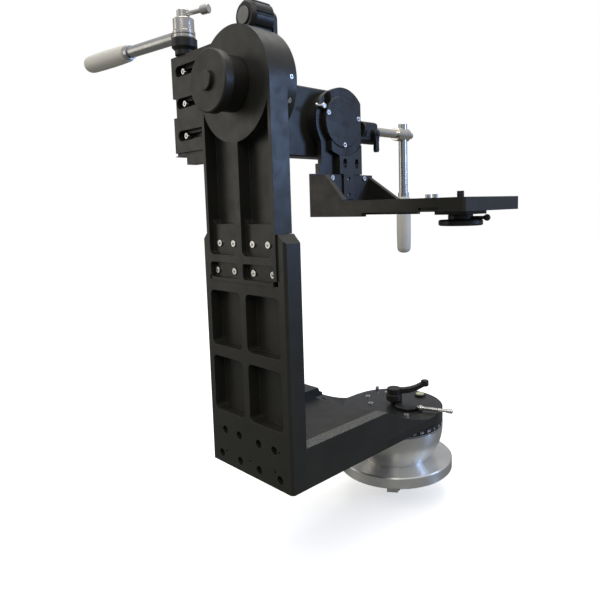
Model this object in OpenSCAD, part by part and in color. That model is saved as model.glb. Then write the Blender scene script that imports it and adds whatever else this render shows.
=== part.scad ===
// Over-slung fluid video head: flat flange base, pan unit, two-piece pocketed
// column, side-mounted tilt unit, balance beam, roll unit and camera bracket.
// Frame: Z up, origin on the pan axis at the underside of the flange.
// Y runs from the column towards the pan axis, X is the way the camera looks.

/* [Base] */
// Radius of the base flange
flange_r = 89; // [82:1:96]
// Thickness of the base flange
flange_t = 17; // [14:0.5:20]
// Radius of the half ball
ball_r = 75; // [72:1:78]
// Height of the half ball's flat top above the underside
ball_z = 69; // [66:1:72]
// Height of the degree ring
scale_h = 10; // [8:0.5:12]
// Thickness of the pan drum
drum_t = 17.7; // [16:0.1:20]
// Radius of the tie-down stud
stud_r = 8; // [6:0.5:9]
// Reach of the tie-down stud below the flange
stud_len = 46; // [42:1:60]
// Radius over the lobes of the tie-down nut
nut_r = 34; // [30:1:40]

/* [Arm] */
// Height of the arm's underside
arm_z = 84.4; // [82:0.2:86]
// Height of the arm's top face
arm_top_z = 140; // [130:1:150]
// Slope of the dish round the pan axis, rise over run
dish_slope = 0.62; // [0.5:0.02:0.8]

/* [Column] */
// Distance from the pan axis to the column's inner face
column_y = 265; // [255:1:280]
// Thickness of the lower plate
lower_t = 23.3; // [21:0.1:26]
// Half width of the lower plate
lower_x = 78.2; // [76:0.2:82]
// Height of the lower plate's top edge
lower_top_z = 381; // [376:1:388]
// Half width of the upper plate, and its round top's radius
upper_r = 65.2; // [63:0.2:67]
// Height of the upper plate's lower edge
lap_z = 323; // [321:0.5:325]
// How far the upper plate stands out in front of the lower one
upper_proud = 2; // [1:0.5:4]
// Height of the tilt axis
tilt_z = 550.5; // [540:0.5:570]
// Width of the rib between the pockets
rib_w = 10; // [8:0.5:14]
// Depth of the deep pockets
pocket_d = 16; // [12:0.5:18]
// Depth of the pockets that the screws sit in
screw_pocket_d = 7; // [5:0.5:8]

/* [Tilt] */
// Radius of the tilt drag knob
knob_r = 34.4; // [32:0.2:36]
// Thickness of the tilt drag knob's rim
knob_t = 13; // [10:0.5:15]
// Length of the fixed hub behind the knob
hub_len = 20.5; // [18:0.5:24]
// Thickness of the tilt plate
tilt_t = 15; // [12:0.5:16]
// Distance from the tilt axis to the tilt plate's far end
tilt_plate_x = 170.5; // [166:0.5:176]
// Height of the beam
beam_h = 110; // [100:1:116]
// Thickness of the beam
beam_t = 35; // [30:1:38]
// Reach of the beam past the roll axis
beam_over = 50; // [45:1:60]
// Travel of the beam along its slots
beam_travel = 44; // [30:1:46]

/* [Roll] */
// Height of the roll axis
roll_z = 545; // [540:0.5:552]
// Radius of the roll plate's round end
roll_r = 53; // [51:0.5:56]
// Radius of the roll cover
cover_r = 41; // [38:0.5:42]
// Sideways offset of the camera bracket
bracket_y = 0; // [-4:0.5:4]
// Half width of the camera bracket
bracket_w = 72; // [68:1:76]
// Top face of the camera platform
platform_z = 417.5; // [410:0.5:424]
// Thickness of the camera platform
platform_t = 18; // [14:0.5:20]
// Reach of the platform in front of the tilt axis
platform_x = 168.5; // [160:0.5:180]
// Travel of the camera bracket down its rail
height_travel = 8; // [6:1:10]

/* [Handles] */
// Radius of the handle tubes
tube_r = 8; // [7:0.5:9]
// Radius of the grips
grip_r = 13.2; // [12.4:0.1:14]
// Length of the grips
grip_len = 105; // [95:1:115]
// Distance from the left clamp's axis to the grip
left_reach = 128; // [120:1:140]
// Yaw of the left handle
left_yaw = 7.5; // [0:0.5:20]

/* [Hidden] */
$fn = 72;
// one overrun for every cut, one gap between bodies, one running fit
over = 1;
gap = 0.3;
fit = 0.05;
eps = 0.02;
chamfer = 1.5;
small_chamfer = 0.8;
// screw sizes: shank and head radius, head height, depth of the key recess
screw_r = 2.5;
screw_head_r = 3.9;
screw_head_h = 5;
screw_key_d = 2.6;
// base
shaft_r = 14;
shaft_top_z = ball_z + scale_h + drum_t - 5;
bearing_r = 26;
bearing_h = 9;
drag_in_r = 34;
drag_out_r = 62;
drag_t = 3.4;
drum_z = ball_z + scale_h + gap;
drum_top_z = drum_z + drum_t;
flange_screw_pcd_r = 30;
flange_screw_count = 6;
key_azimuth = -55;
key_w = 16;
key_len = 12;
key_h = 6;
key_seat = 3;
nut_h = 13;
nut_gap = 6;
nut_core_r = 18;
nut_lobes = 6;
nut_lobe_r = 9;
// pan top
lock_hub_r = 12.5;
lock_hub_h = 17;
lock_spindle_r = 5.5;
lock_under = 5.6;
lock_rise = 12;
lock_end_r = 6;
lock_end_h = 9;
lock_arm_len = 48;
lock_arm_t = 8;
lock_arm_w = 11;
drag_knob_x = 26;
drag_knob_r = 19.5;
drag_knob_h = 5;
drag_lever_len = 39;
drag_lever_r = 2.6;
drag_ball_r = 4.5;
level_r = 9;
level_h = 5;
vial_r = 6.5;
vial_h = 4;
post_r = 3;
post_h = 6;
saddle_y = 118;
saddle_screw_x = 56;
saddle_screw_y = 102;
// arm, whose far side is flush with the drum and whose near side stands a little proud of it
arm_far_x = ball_r;
arm_proud = 3;
arm_x = ball_r + arm_proud;
arm_bevel = 6;
arm_flat_x = 27;
arm_far_top_z = 118;
dish_r = 80;
step_y1 = 133;
step_inset = 13;
step_x0 = arm_far_x - step_inset;
step_x1 = arm_flat_x;
step_h = 12.5;
step_d = 8;
// column
column_front_y = column_y + lower_t;
upper_front_y = column_front_y + upper_proud;
lap_t = 16;
lap_y = upper_front_y - lap_t;
lower_corner = 10;
lower_edge = 3;
pocket_r = 7;
lower_wall = 12.2;
pocket_half = lower_x - lower_wall;
pocket_top_z1 = 310;
pocket_top_z0 = 240;
pocket_low_z1 = 226;
pocket_low_z0 = 155;
foot_row_a_z = 130;
foot_row_b_z = 97;
foot_screw_r = 3;
foot_head_r = 4.6;
foot_head_h = 6;
foot_cb_r = 5.2;
foot_cb_d = 11;
foot_a_x = [19, 48];
foot_b_x = [18.6, 57];
foot_screw_len = 34;
dowel_r = 1.6;
dowel_d = 5;
dowel_at = [[-47, 102], [1, 103], [48, 104], [-57, 130], [57, 130]];
upper_wall = 5.2;
upper_pocket_x = upper_r - upper_wall;
shelf_z0 = 355;
shelf_z1 = 392;
row1_z = 368.8;
row2_z = 335.3;
row1_x = [18.4, 46];
row2_x = [18.4, 53];
foot_pocket_z1 = 346;
foot_pocket_z0 = 327;
notch = 6;
column_screw_len = 14;
boss_r = 64.6;
tilt_shaft_r = 12;
tilt_bearing_r = 21;
tilt_bearing_h = 9;
hub_r = 31;
hub_y = upper_front_y + hub_len;
knob_boss_r = 11;
knob_boss_h = 4.5;
knob_spindle_r = 7;
knob_spindle_len = 12;
// tilt plate, beam
tilt_y = column_y - gap;
tilt_back_y = tilt_y - tilt_t;
tilt_plate_top = 65.5;
tilt_plate_low = 79;
tilt_plate_step = 12;
tilt_step_x = 143;
plate_notch = 7.6;
plate_notch_z0 = -14.5;
plate_notch_z1 = 11.5;
slot_x0 = 154;
slot_r = 3.2;
slot_cb_r = 7;
slot_cb_d = 9;
slot_zs = [45.5, 3.2, -39.7];
slot_screw_x = 148;
slot_play = 5;
slot_x1 = slot_screw_x - beam_travel - slot_play;
slot_screw_len = 30;
groove_z = 66;
groove_h = 4;
groove_d = 3;
beam_x0 = 163;
beam_x1 = beam_x0 - beam_t;
rim_screw_r = 3;
rim_screw_h = 2;
// top knob on its bracket
lug_x = 20;
lug_z = 88;
lug_knob_r = 20;
lug_cap_r = 10;
lug_y0 = 255;
lug_y1 = 219;
lug_wall = 7;
lug_w = 24;
lug_spindle_r = 6;
// roll unit
housing_t = 14;
housing_r = 50;
roll_x0 = beam_x1 - housing_t;
roll_plate_t = 8.7;
roll_x1 = roll_x0 - gap - roll_plate_t;
cover_t = 10;
roll_shaft_r = 12;
roll_bore_d = 26;
strap_w = 43;
strap_z0 = 440;
foot_w = 49;
foot_h = 38;
arch_t = 9;
arch_cut_y = 28;
cover_fit = 0.3;
cover_screw_pcd = 36.5;
cover_screw_angles = [71, -78, 182];
arch_r = 54;
arch_flat_y = 43;
roll_lock_y = 41;
roll_lock_z = 22;
roll_lock_r = 4.5;
roll_lock_h = 7.5;
roll_lock_rod_r = 2.2;
roll_lock_len = 14;
roll_lock_ball_r = 3;
rail_y = 14.6;
rail_w = 27;
rail_strip_y = 9;
rail_t = 11;
rail_strip_w = 12.5;
rail_hole_z = [454, 428];
rail_mid_z = 461.5;
rail_low_z = 421;
rail_slot_y = 14.2;
// camera bracket
back_x0 = roll_x1;
back_t = 7.5;
back_x1 = back_x0 - back_t;
back_top_z = 461;
base_plate_t = 5.5;
base_strip_x = 1.5;
base_strip_w = 10;
gusset_t = 9;
gusset_top_x = 70.5;
gusset_top_z = 458;
gusset_toe = 2.5;
gusset_low_x = 35;
far_gusset_x = 35;
back_screw_y = [-28.5, 50];
back_screw_drop = 5.5;
platform_edge = 2.5;
lens_knob_x = 119;
lens_screw_x = [66, 78];
lens_screw_h = 6;
lens_slot_w = 5.2;
lens_slot_x0 = 97;
lens_slot_x1 = 150;
camera_screw_r = 4.76;
camera_screw_out = 9;
camera_shank_r = 4.6;
stud_lift = 0.5;
block_x0 = 94;
block_x1 = 144;
block_w = 26;
block_h = 5;
clamp_knob_r = 30;
clamp_knob_h = 8;
clamp_neck_r = 17;
clamp_neck_h = 7;
clamp_lever_len = 36;
clamp_lever_r = 2.4;
clamp_ball_r = 4.6;
// left handle
left_x = 145;
left_y = 258;
left_base_r = 17;
left_base_h = 21;
left_neck_r = 13;
left_neck_h = 6;
left_cone_h = 4;
ring_h = 5;
ring_r = 15;
head_r = 15;
head_h = 26;
rod_up = 5.2;
cap_r = 8.5;
cap_h = 11;
lever_arm = 30;
lever_tube_r = 3;
lever_bell_r = 6;
grip_hole_r = 3;
grip_hole_d = 12;
collar_r = 10;
collar_len = 8;
// right handle
right_x = roll_x0 - 4;
right_drop = 7;
right_z = roll_z - right_drop;
right_y0 = 46;
right_body_len = 46;
right_body_r = 15;
right_lobe_r = 9;
right_lobe_drop = 14;
right_rod_r = 7.5;
right_rod_len = 63;
right_collar_r = 12;
right_collar_len = 22;
right_thumb_r = 6;
right_thumb_len = 27;
right_tube_up = 8;
right_tube_in = 23;
right_tube_y = right_y0 + right_body_len + right_rod_len + right_tube_in;
right_tube_len = 114;
right_lever_len = 31;

// A cylinder with a chamfer at both ends
module rounded_pin(r, h, c = chamfer) {
    rotate_extrude() polygon([[0, 0], [r - c, 0], [r, c], [r, h - c], [r - c, h], [0, h]]);
}
// A socket head screw: head upward, its seat at z 0
module socket_screw(len, r = screw_r, hr = screw_head_r, hh = screw_head_h) {
    difference() {
        union() {
            translate([0, 0, -len]) cylinder(r = r, h = len + eps);
            cylinder(r = hr, h = hh);
        }
        translate([0, 0, hh - screw_key_d]) cylinder(r = hr * key_share, h = screw_key_d + over, $fn = 6);
    }
}
key_share = 0.56;
// A slot along X, cut along Z from z 0
module slot_x(x0, x1, r, h) {
    translate([x0, 0, 0]) cylinder(r = r, h = h);
    translate([x1, 0, 0]) cylinder(r = r, h = h);
    translate([min(x0, x1), -r, 0]) cube([abs(x1 - x0), r + r, h]);
}
// A pocket with rounded corners, seen from the front, cut from y 0 towards +Y
module pocket(x0, x1, z0, z1, d, r = pocket_r) {
    translate([0, -over, 0]) rotate([-90, 0, 0]) linear_extrude(d + over)
        union() {
            translate([x0 + r, -z1]) square([x1 - x0 - r - r, z1 - z0]);
            translate([x0, -z1 + r]) square([x1 - x0, z1 - z0 - r - r]);
            for (x = [x0 + r, x1 - r], z = [z0 + r, z1 - r]) translate([x, -z]) circle(r = r, $fn = 32);
        }
}
// An axis along Y, pointing to -Y
module along_y() rotate([90, 0, 0]) children();
// An axis along X, pointing to +X
module along_x() rotate([0, 90, 0]) children();

module base_flange() color("silver") difference() {
    rounded_pin(flange_r, flange_t);
    translate([0, 0, -over]) cylinder(r = stud_r + eps, h = flange_t + over + over);
    rotate([0, 0, key_azimuth]) translate([flange_r - key_len - chamfer * 2 - eps, -key_w / 2 - eps, -over])
        cube([key_len + eps * 2, key_w + eps * 2, key_seat + over]);
    for (i = [0 : flange_screw_count - 1]) rotate([0, 0, i * 360 / flange_screw_count])
        translate([flange_screw_pcd_r, 0, -over]) {
            cylinder(r = screw_r + eps, h = flange_t + over + over);
            cylinder(r = screw_head_r + gap, h = screw_head_h + over + over);
        }
}
module base_bowl() color("silver") difference() {
    intersection() {
        translate([0, 0, ball_z]) sphere(r = ball_r, $fn = 96);
        translate([0, 0, flange_t]) cylinder(r = ball_r + over, h = ball_z - flange_t);
    }
    translate([0, 0, flange_t + flange_t]) cylinder(r = shaft_r + eps, h = ball_z);
    translate([0, 0, flange_t - over]) cylinder(r = stud_r + eps, h = stud_r + over);
    for (i = [0 : flange_screw_count - 1]) rotate([0, 0, i * 360 / flange_screw_count])
        translate([flange_screw_pcd_r, 0, flange_t - over]) cylinder(r = screw_r + eps, h = stud_r + over);
}
module flange_screws() color("dimgray")
    for (i = [0 : flange_screw_count - 1]) rotate([0, 0, i * 360 / flange_screw_count])
        translate([flange_screw_pcd_r, 0, screw_head_h + over]) mirror([0, 0, 1])
            socket_screw(flange_t - screw_head_h + stud_r - over - over);
module anti_twist_key() color("dimgray") rotate([0, 0, key_azimuth])
    translate([flange_r - key_len - chamfer * 2, 0, -key_h]) difference() {
        translate([0, -key_w / 2, 0]) cube([key_len, key_w, key_h + key_seat]);
        translate([key_len / 2, 0, -over]) cylinder(r = screw_r, h = key_h / 2 + over);
    }
module tie_down_stud() color("dimgray") translate([0, 0, -stud_len])
    rounded_pin(stud_r, stud_len + flange_t + stud_r - over, small_chamfer);
module tie_down_nut() color("dimgray") translate([0, 0, -nut_gap - nut_h - nut_h]) difference() {
    union() {
        rounded_pin(nut_core_r, nut_h + nut_h, small_chamfer);
        for (i = [0 : nut_lobes - 1]) rotate([0, 0, i * 360 / nut_lobes]) {
            translate([nut_r - nut_lobe_r, 0, 0]) cylinder(r = nut_lobe_r, h = nut_h);
            translate([0, -nut_lobe_r / 2, 0]) cube([nut_r - nut_lobe_r, nut_lobe_r, nut_h]);
        }
    }
    translate([0, 0, -over]) cylinder(r = stud_r + fit, h = nut_h + nut_h + over + over);
}
module pan_shaft() color("silver") translate([0, 0, flange_t + flange_t])
    cylinder(r = shaft_r, h = shaft_top_z - flange_t - flange_t);
module pan_scale_ring() color("black") translate([0, 0, ball_z]) difference() {
    rounded_pin(ball_r, scale_h, small_chamfer);
    translate([0, 0, -over]) cylinder(r = shaft_r + eps, h = scale_h + over + over);
}
module pan_drag_plate() color("sienna") translate([0, 0, ball_z + scale_h]) difference() {
    cylinder(r = drag_out_r - gap, h = drag_t);
    translate([0, 0, -over]) cylinder(r = drag_in_r + gap, h = drag_t + over + over);
}
module pan_bearing() color("silver") translate([0, 0, drum_z]) difference() {
    cylinder(r = bearing_r - eps, h = bearing_h);
    translate([0, 0, -over]) cylinder(r = shaft_r + fit, h = bearing_h + over + over);
}
module pan_drum() color("#1c1c1f") difference() {
    union() {
        translate([0, 0, drum_z]) rounded_pin(ball_r, drum_t, small_chamfer);
        translate([-arm_far_x, -saddle_y, arm_z])
            cube([arm_x + arm_far_x, saddle_y, drum_top_z - arm_z]);
    }
    // bearing seat, shaft room and the drag plate's room
    translate([0, 0, drum_z - over]) cylinder(r = bearing_r, h = bearing_h + over);
    translate([0, 0, drum_z - over]) cylinder(r = shaft_r + gap, h = shaft_top_z + gap - drum_z + over);
    translate([0, 0, drum_z - over]) difference() {
        cylinder(r = drag_out_r, h = drag_t + over);
        translate([0, 0, -over]) cylinder(r = drag_in_r, h = drag_t + over + over + over);
    }
    for (x = [-saddle_screw_x, 0, saddle_screw_x]) translate([x, -saddle_screw_y, arm_z])
        translate([0, 0, arm_edge]) cylinder(r = screw_r + eps, h = drum_t);
    for (p = drum_screw_shares * ball_r) translate([p[0], p[1], drum_top_z - screw_len_short])
        cylinder(r = screw_r + eps, h = screw_len_short + over);
    at_level() cylinder(r = level_r + eps, h = level_h + over);
}
arm_edge = 4;
screw_len_short = 4;
level_seat = 2;
// places on the drum, as shares of its radius
drum_screw_shares = [[-0.35, -0.35], [-0.68, -0.05], [-0.53, 0.43], [0.61, -0.4]];
post_shares = [-0.84, 0.467];
level_shares = [0.12, 0.76];
module pan_lock_hub() color("#161616") translate([0, 0, drum_top_z]) {
    translate([0, 0, gap]) cylinder(r = lock_spindle_r, h = lock_under);
    translate([0, 0, lock_under]) rounded_pin(lock_hub_r, lock_hub_h - lock_under);
}
module pan_lock_lever() color("#161616") translate([0, 0, drum_top_z + lock_hub_h])
    rotate([0, 0, lock_yaw]) {
    rounded_pin(lock_hub_r - chamfer, lock_arm_t + small_chamfer, small_chamfer);
    translate([0, lock_arm_w / 2, small_chamfer]) along_y() linear_extrude(lock_arm_w) polygon(concat(
        [for (p = lock_shares) [p[0] * lock_arm_len, p[1] * lock_rise]],
        [for (i = [len(lock_shares) - 1 : -1 : 0])
            [lock_shares[i][0] * lock_arm_len,
                lock_shares[i][1] * lock_rise + lock_arm_t - small_chamfer]]));
    translate([lock_arm_len, 0, lock_rise]) rounded_pin(lock_end_r, lock_end_h, small_chamfer);
}
// The curve of the lever, as shares of its length and rise
lock_shares = [[0, 0], [0.35, 0.03], [0.55, 0.16], [0.72, 0.4], [0.87, 0.72], [1, 1]];
module pan_drag_knob() color("#202022") translate([drag_knob_x, 0, drum_top_z + gap])
    rounded_pin(drag_knob_r, drag_knob_h);
lock_yaw = 40;
drag_yaw = 22;
module pan_drag_lever() color("silver") translate([drag_knob_x, 0, drum_top_z + drag_ball_r + gap]) {
    translate([drag_knob_r, 0, 0]) along_x() cylinder(r = drag_lever_r, h = over);
    translate([drag_knob_r + drag_ball_r + gap, 0, 0]) {
        sphere(r = drag_ball_r, $fn = 32);
        rotate([0, 0, drag_yaw]) along_x() {
            cylinder(r = drag_lever_r, h = drag_lever_len);
            translate([0, 0, drag_lever_len])
                rounded_pin(drag_ball_r - over, drag_ball_r + drag_ball_r, small_chamfer);
        }
    }
}
module at_level()
    translate([level_shares[0] * ball_r, level_shares[1] * ball_r, drum_top_z - level_seat]) children();
module level_bezel() color("#202022") at_level() difference() {
    rounded_pin(level_r, level_h, small_chamfer);
    translate([0, 0, level_h - vial_h]) cylinder(r = vial_r + eps, h = vial_h + over);
}
module level_vial() color("ivory") at_level() translate([0, 0, level_h - vial_h])
    cylinder(r = vial_r, h = vial_h + small_chamfer);
module horizontal_arm() color("#1c1c1f") difference() {
    translate([0, -dish_r / 4, 0]) along_y() linear_extrude(column_y - dish_r / 4)
        polygon([[arm_x, arm_z], [arm_x, arm_top_z - arm_bevel], [arm_x - arm_bevel, arm_top_z],
            [-arm_flat_x, arm_top_z], [-arm_far_x, arm_far_top_z], [-arm_far_x, arm_z]]);
    // dish round the pan axis, the drum's room and the saddle's lap
    translate([0, 0, drum_top_z]) cylinder(r1 = dish_r,
        r2 = dish_r + (arm_top_z - drum_top_z + over) / dish_slope,
        h = arm_top_z - drum_top_z + over, $fn = 96);
    translate([-ball_r * 2, -saddle_y - eps, arm_z - over])
        cube([ball_r * 4, saddle_y + over, drum_top_z - arm_z + over + eps]);
    for (x = [-saddle_screw_x, 0, saddle_screw_x]) translate([x, -saddle_screw_y, drum_top_z - over]) {
        cylinder(r = screw_r + eps, h = arm_top_z);
        translate([0, 0, saddle_seat + over]) cylinder(r = screw_head_r + gap, h = arm_top_z);
    }
    // threads of the foot screws
    for (x = foot_a_x, s = [-1, 1]) translate([s * x, -column_y + over, foot_row_a_z]) along_y()
        translate([0, 0, -foot_thread - over]) cylinder(r = foot_screw_r + eps, h = foot_thread + over * 3);
    for (x = foot_b_x, s = [-1, 1]) translate([s * x, -column_y + over, foot_row_b_z]) along_y()
        translate([0, 0, -foot_thread - over]) cylinder(r = foot_screw_r + eps, h = foot_thread + over * 3);
}
saddle_seat = 7.5;
foot_thread = foot_screw_len - (lower_t - foot_cb_d);
saddle_screw_len = saddle_seat + drum_t / 2 - 2;
module saddle_screws() color("dimgray")
    for (x = [-saddle_screw_x, 0, saddle_screw_x]) translate([x, -saddle_screw_y, drum_top_z + saddle_seat])
        socket_screw(saddle_screw_len);
module arm_step_block() color("#1c1c1f")
    translate([-step_x1, 0, arm_top_z]) rotate([90, 0, -90]) linear_extrude(step_x0 - step_x1)
        polygon([[step_y1, 0], [step_y1, step_h - step_d], [step_y1 + step_d / 2, step_h - step_d],
            [step_y1 + step_d, step_h], [column_y, step_h], [column_y, 0]]);
// Front outline of the lower plate
module lower_outline() polygon([[-lower_x, arm_z], [lower_x, arm_z], [lower_x, lower_top_z - lower_corner],
    [lower_x - lower_corner, lower_top_z], [-lower_x + lower_corner, lower_top_z],
    [-lower_x, lower_top_z - lower_corner]]);
module lower_column_plate() color("#1c1c1f") difference() {
    translate([0, -column_y, 0]) along_y() linear_extrude(lower_t) lower_outline();
    // front edges
    for (s = [-1, 1]) translate([s * lower_x, -column_front_y, arm_z - over]) rotate([0, 0, 45])
        translate([-lower_edge, -lower_edge, 0] * edge_share)
            cube([lower_edge * edge_share * 2, lower_edge * edge_share * 2, lower_top_z]);
    // channel that the upper plate lies in
    translate([-upper_r - eps, -column_front_y - over, lap_z - eps])
        cube([(upper_r + eps) * 2, column_front_y + over - lap_y + eps, lower_top_z]);
    for (s = [-1, 1], z = [0, 1]) translate([0, -column_front_y, 0]) pocket(
        s < 0 ? -pocket_half : rib_w / 2, s < 0 ? -rib_w / 2 : pocket_half,
        z ? pocket_top_z0 : pocket_low_z0, z ? pocket_top_z1 : pocket_low_z1, pocket_d);
    for (s = [-1, 1]) {
        for (x = foot_a_x) foot_hole(s * x, foot_row_a_z);
        for (x = foot_b_x) foot_hole(s * x, foot_row_b_z);
        for (x = row1_x) translate([s * x, -lap_y, row1_z]) screw_tap();
        for (x = row2_x) translate([s * x, -lap_y, row2_z]) screw_tap();
    }
    for (p = dowel_at) translate([p[0], -column_front_y - over, p[1]]) rotate([-90, 0, 0])
        cylinder(r = dowel_r, h = dowel_d + over);
}
edge_share = 0.7071;
module foot_hole(x, z) translate([x, -column_front_y, z]) rotate([-90, 0, 0]) {
    translate([0, 0, -over]) cylinder(r = foot_cb_r, h = foot_cb_d + over);
    cylinder(r = foot_screw_r + eps, h = lower_t + over);
}
column_sink = 3;
tap_len = column_screw_len - (lap_t - screw_pocket_d - column_sink);
module screw_tap() rotate([-90, 0, 0]) translate([0, 0, -over]) cylinder(r = screw_r + eps,
    h = tap_len + over);
module foot_screws() color("#2a2a2a") for (s = [-1, 1]) {
    for (x = foot_a_x) translate([s * x, -column_front_y + foot_cb_d, foot_row_a_z]) along_y()
        socket_screw(foot_screw_len - over, foot_screw_r, foot_head_r, foot_head_h);
    for (x = foot_b_x) translate([s * x, -column_front_y + foot_cb_d, foot_row_b_z]) along_y()
        socket_screw(foot_screw_len - over, foot_screw_r, foot_head_r, foot_head_h);
}
module upper_column_plate() color("#1c1c1f") difference() {
    union() {
        translate([0, -upper_front_y + upper_t, tilt_z]) along_y() cylinder(r = upper_r,
            h = upper_t, $fn = 96);
        translate([-upper_r, -upper_front_y, lap_z]) cube([upper_r * 2, upper_t, tilt_z - lap_z]);
    }
    // lap at the back
    translate([-upper_r - over, -lap_y, lap_z - over])
        cube([(upper_r + over) * 2, lap_t, lower_top_z + gap - lap_z + over]);
    for (s = [-1, 1]) {
        translate([s > 0 ? upper_r - notch : -upper_r - over, -upper_front_y - over, lap_z - over])
            cube([notch + over, lap_t, notch + over]);
        translate([0, -upper_front_y, 0]) {
            pocket(s < 0 ? -upper_pocket_x : rib_w / 2, s < 0 ? -rib_w / 2 : upper_pocket_x,
                foot_pocket_z0, foot_pocket_z1, screw_pocket_d, foot_pocket_r);
            pocket(s < 0 ? -upper_pocket_x : rib_w / 2, s < 0 ? -rib_w / 2 : upper_pocket_x,
                shelf_z0, shelf_z1 + pocket_r * 2, screw_pocket_d);
            difference() {
                pocket(s < 0 ? -upper_pocket_x : rib_w / 2, s < 0 ? -rib_w / 2 : upper_pocket_x,
                    shelf_z1, tilt_z, pocket_d);
                translate([0, upper_t, tilt_z]) along_y() cylinder(r = boss_r,
                    h = upper_t + over + over, $fn = 96);
            }
        }
        for (x = row1_x) translate([s * x, -upper_front_y, row1_z]) screw_seat();
        for (x = row2_x) translate([s * x, -upper_front_y, row2_z]) screw_seat();
    }
    // tilt bore, bearing seat and the hub's screws
    translate([0, -upper_front_y - over, tilt_z]) rotate([-90, 0, 0]) {
        cylinder(r = tilt_shaft_r + gap, h = upper_t + over + over);
        translate([0, 0, upper_t + over - tilt_bearing_h]) cylinder(r = tilt_bearing_r,
            h = tilt_bearing_h + over);
    }
}
upper_t = upper_front_y - column_y;
module screw_seat() rotate([-90, 0, 0]) {
    cylinder(r = screw_r + eps, h = upper_t);
    cylinder(r = screw_head_r + gap, h = screw_pocket_d + column_sink);
}
foot_pocket_r = 4;
// The bright screws of the column and the drum, and the drum's post
module frame_screws() color("silver") {
    for (s = [-1, 1], y = [-upper_front_y + screw_pocket_d + column_sink]) {
        for (x = row1_x) translate([s * x, y, row1_z]) along_y() socket_screw(column_screw_len - over);
        for (x = row2_x) translate([s * x, y, row2_z]) along_y() socket_screw(column_screw_len - over);
    }
    for (p = drum_screw_shares * ball_r) translate([p[0], p[1], drum_top_z])
        socket_screw(screw_len_short - over, hh = screw_head_h / 2);
    translate([post_shares[0] * ball_r, post_shares[1] * ball_r, drum_top_z])
        rounded_pin(post_r, post_h, small_chamfer);
}
module tilt_hub() color("#161616") translate([0, -upper_front_y, tilt_z]) along_y() difference() {
    rounded_pin(hub_r, hub_len, small_chamfer);
    translate([0, 0, -over]) cylinder(r = tilt_shaft_r + gap, h = hub_len - knob_spindle_len + over);
    cylinder(r = knob_spindle_r + fit, h = hub_len + over);
}
module tilt_bearing() color("silver") translate([0, -upper_front_y + upper_t, tilt_z])
    along_y() difference() {
    cylinder(r = tilt_bearing_r - eps, h = tilt_bearing_h);
    translate([0, 0, -over]) cylinder(r = tilt_shaft_r + fit, h = tilt_bearing_h + over + over);
}
module tilt_drag_knob() color("#161616") translate([0, -hub_y - gap, tilt_z]) along_y() {
    rounded_pin(knob_r, knob_t);
    translate([0, 0, knob_t - eps]) rounded_pin(knob_boss_r, knob_boss_h, small_chamfer);
    translate([0, 0, -knob_spindle_len + over]) cylinder(r = knob_spindle_r, h = knob_spindle_len);
}
module tilt_shaft() color("silver") translate([0, -tilt_y, tilt_z]) along_y()
    cylinder(r = tilt_shaft_r, h = hub_y - knob_spindle_len - over - tilt_y);
// Everything on the tilt body is drawn about the tilt axis
module tilt_plate() color("#1c1c1f") translate([0, -tilt_back_y, tilt_z]) along_y() difference() {
    union() {
        cylinder(r = boss_r, h = tilt_t, $fn = 96);
        linear_extrude(tilt_t) polygon([[0, tilt_plate_top], [-tilt_plate_x, tilt_plate_top],
            [-tilt_plate_x, plate_notch_z1], [-tilt_plate_x + plate_notch, plate_notch_z1],
            [-tilt_plate_x + plate_notch, plate_notch_z0], [-tilt_plate_x, plate_notch_z0],
            [-tilt_plate_x, -tilt_plate_low + tilt_plate_step],
                [-tilt_step_x, -tilt_plate_low + tilt_plate_step],
            [-tilt_step_x, -tilt_plate_low], [-boss_r, -tilt_plate_low], [0, -boss_r + chamfer]]);
    }
    for (z = slot_zs) translate([0, z, 0]) {
        translate([0, 0, -over]) slot_x(-slot_x0, -slot_x1, slot_r, tilt_t + over + over);
        translate([0, 0, tilt_t - slot_cb_d]) slot_x(-slot_x0, -slot_x1, slot_cb_r, slot_cb_d + over);
        translate([-slot_x1, -slot_cb_r, tilt_t - slot_cb_d])
            cube([slot_cb_r, slot_cb_r * 2, slot_cb_d + over]);
    }
    translate([-tilt_plate_x - over, -groove_z, tilt_t - groove_d])
        cube([tilt_plate_x - boss_r + over, groove_h, groove_d + over]);
    for (a = [2, -21]) rotate([0, 0, a]) translate([boss_r - rim_screw_h - rim_screw_h, 0, tilt_t / 2])
        along_x() cylinder(r = rim_screw_r, h = tilt_t);
}
module slot_screws() color("silver") for (z = slot_zs)
    translate([-slot_screw_x, -tilt_y + slot_cb_d - gap, tilt_z + z]) along_y()
        socket_screw(slot_screw_len);
module tilt_beam() color("#1c1c1f") translate([-beam_x0, 0, roll_z]) difference() {
    translate([0, -tilt_back_y + gap, -beam_h / 2]) cube([beam_t, tilt_back_y - gap + beam_over, beam_h]);
    for (s = [-1, 1]) translate([beam_t, -tilt_back_y, s * beam_h / 2]) rotate([0, 45, 0])
        translate([-chamfer, -over, -chamfer])
            cube([chamfer * 2, tilt_back_y + beam_over + over * 2, chamfer * 2]);
    for (z = slot_zs) translate([beam_x0 - slot_screw_x, -tilt_back_y, tilt_z - roll_z + z])
        rotate([-90, 0, 0])
        cylinder(r = screw_r + eps, h = slot_screw_len);
    translate([beam_t - roll_bore_d, 0, 0]) along_x() cylinder(r = roll_shaft_r + fit,
        h = roll_bore_d + over);
}
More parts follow.
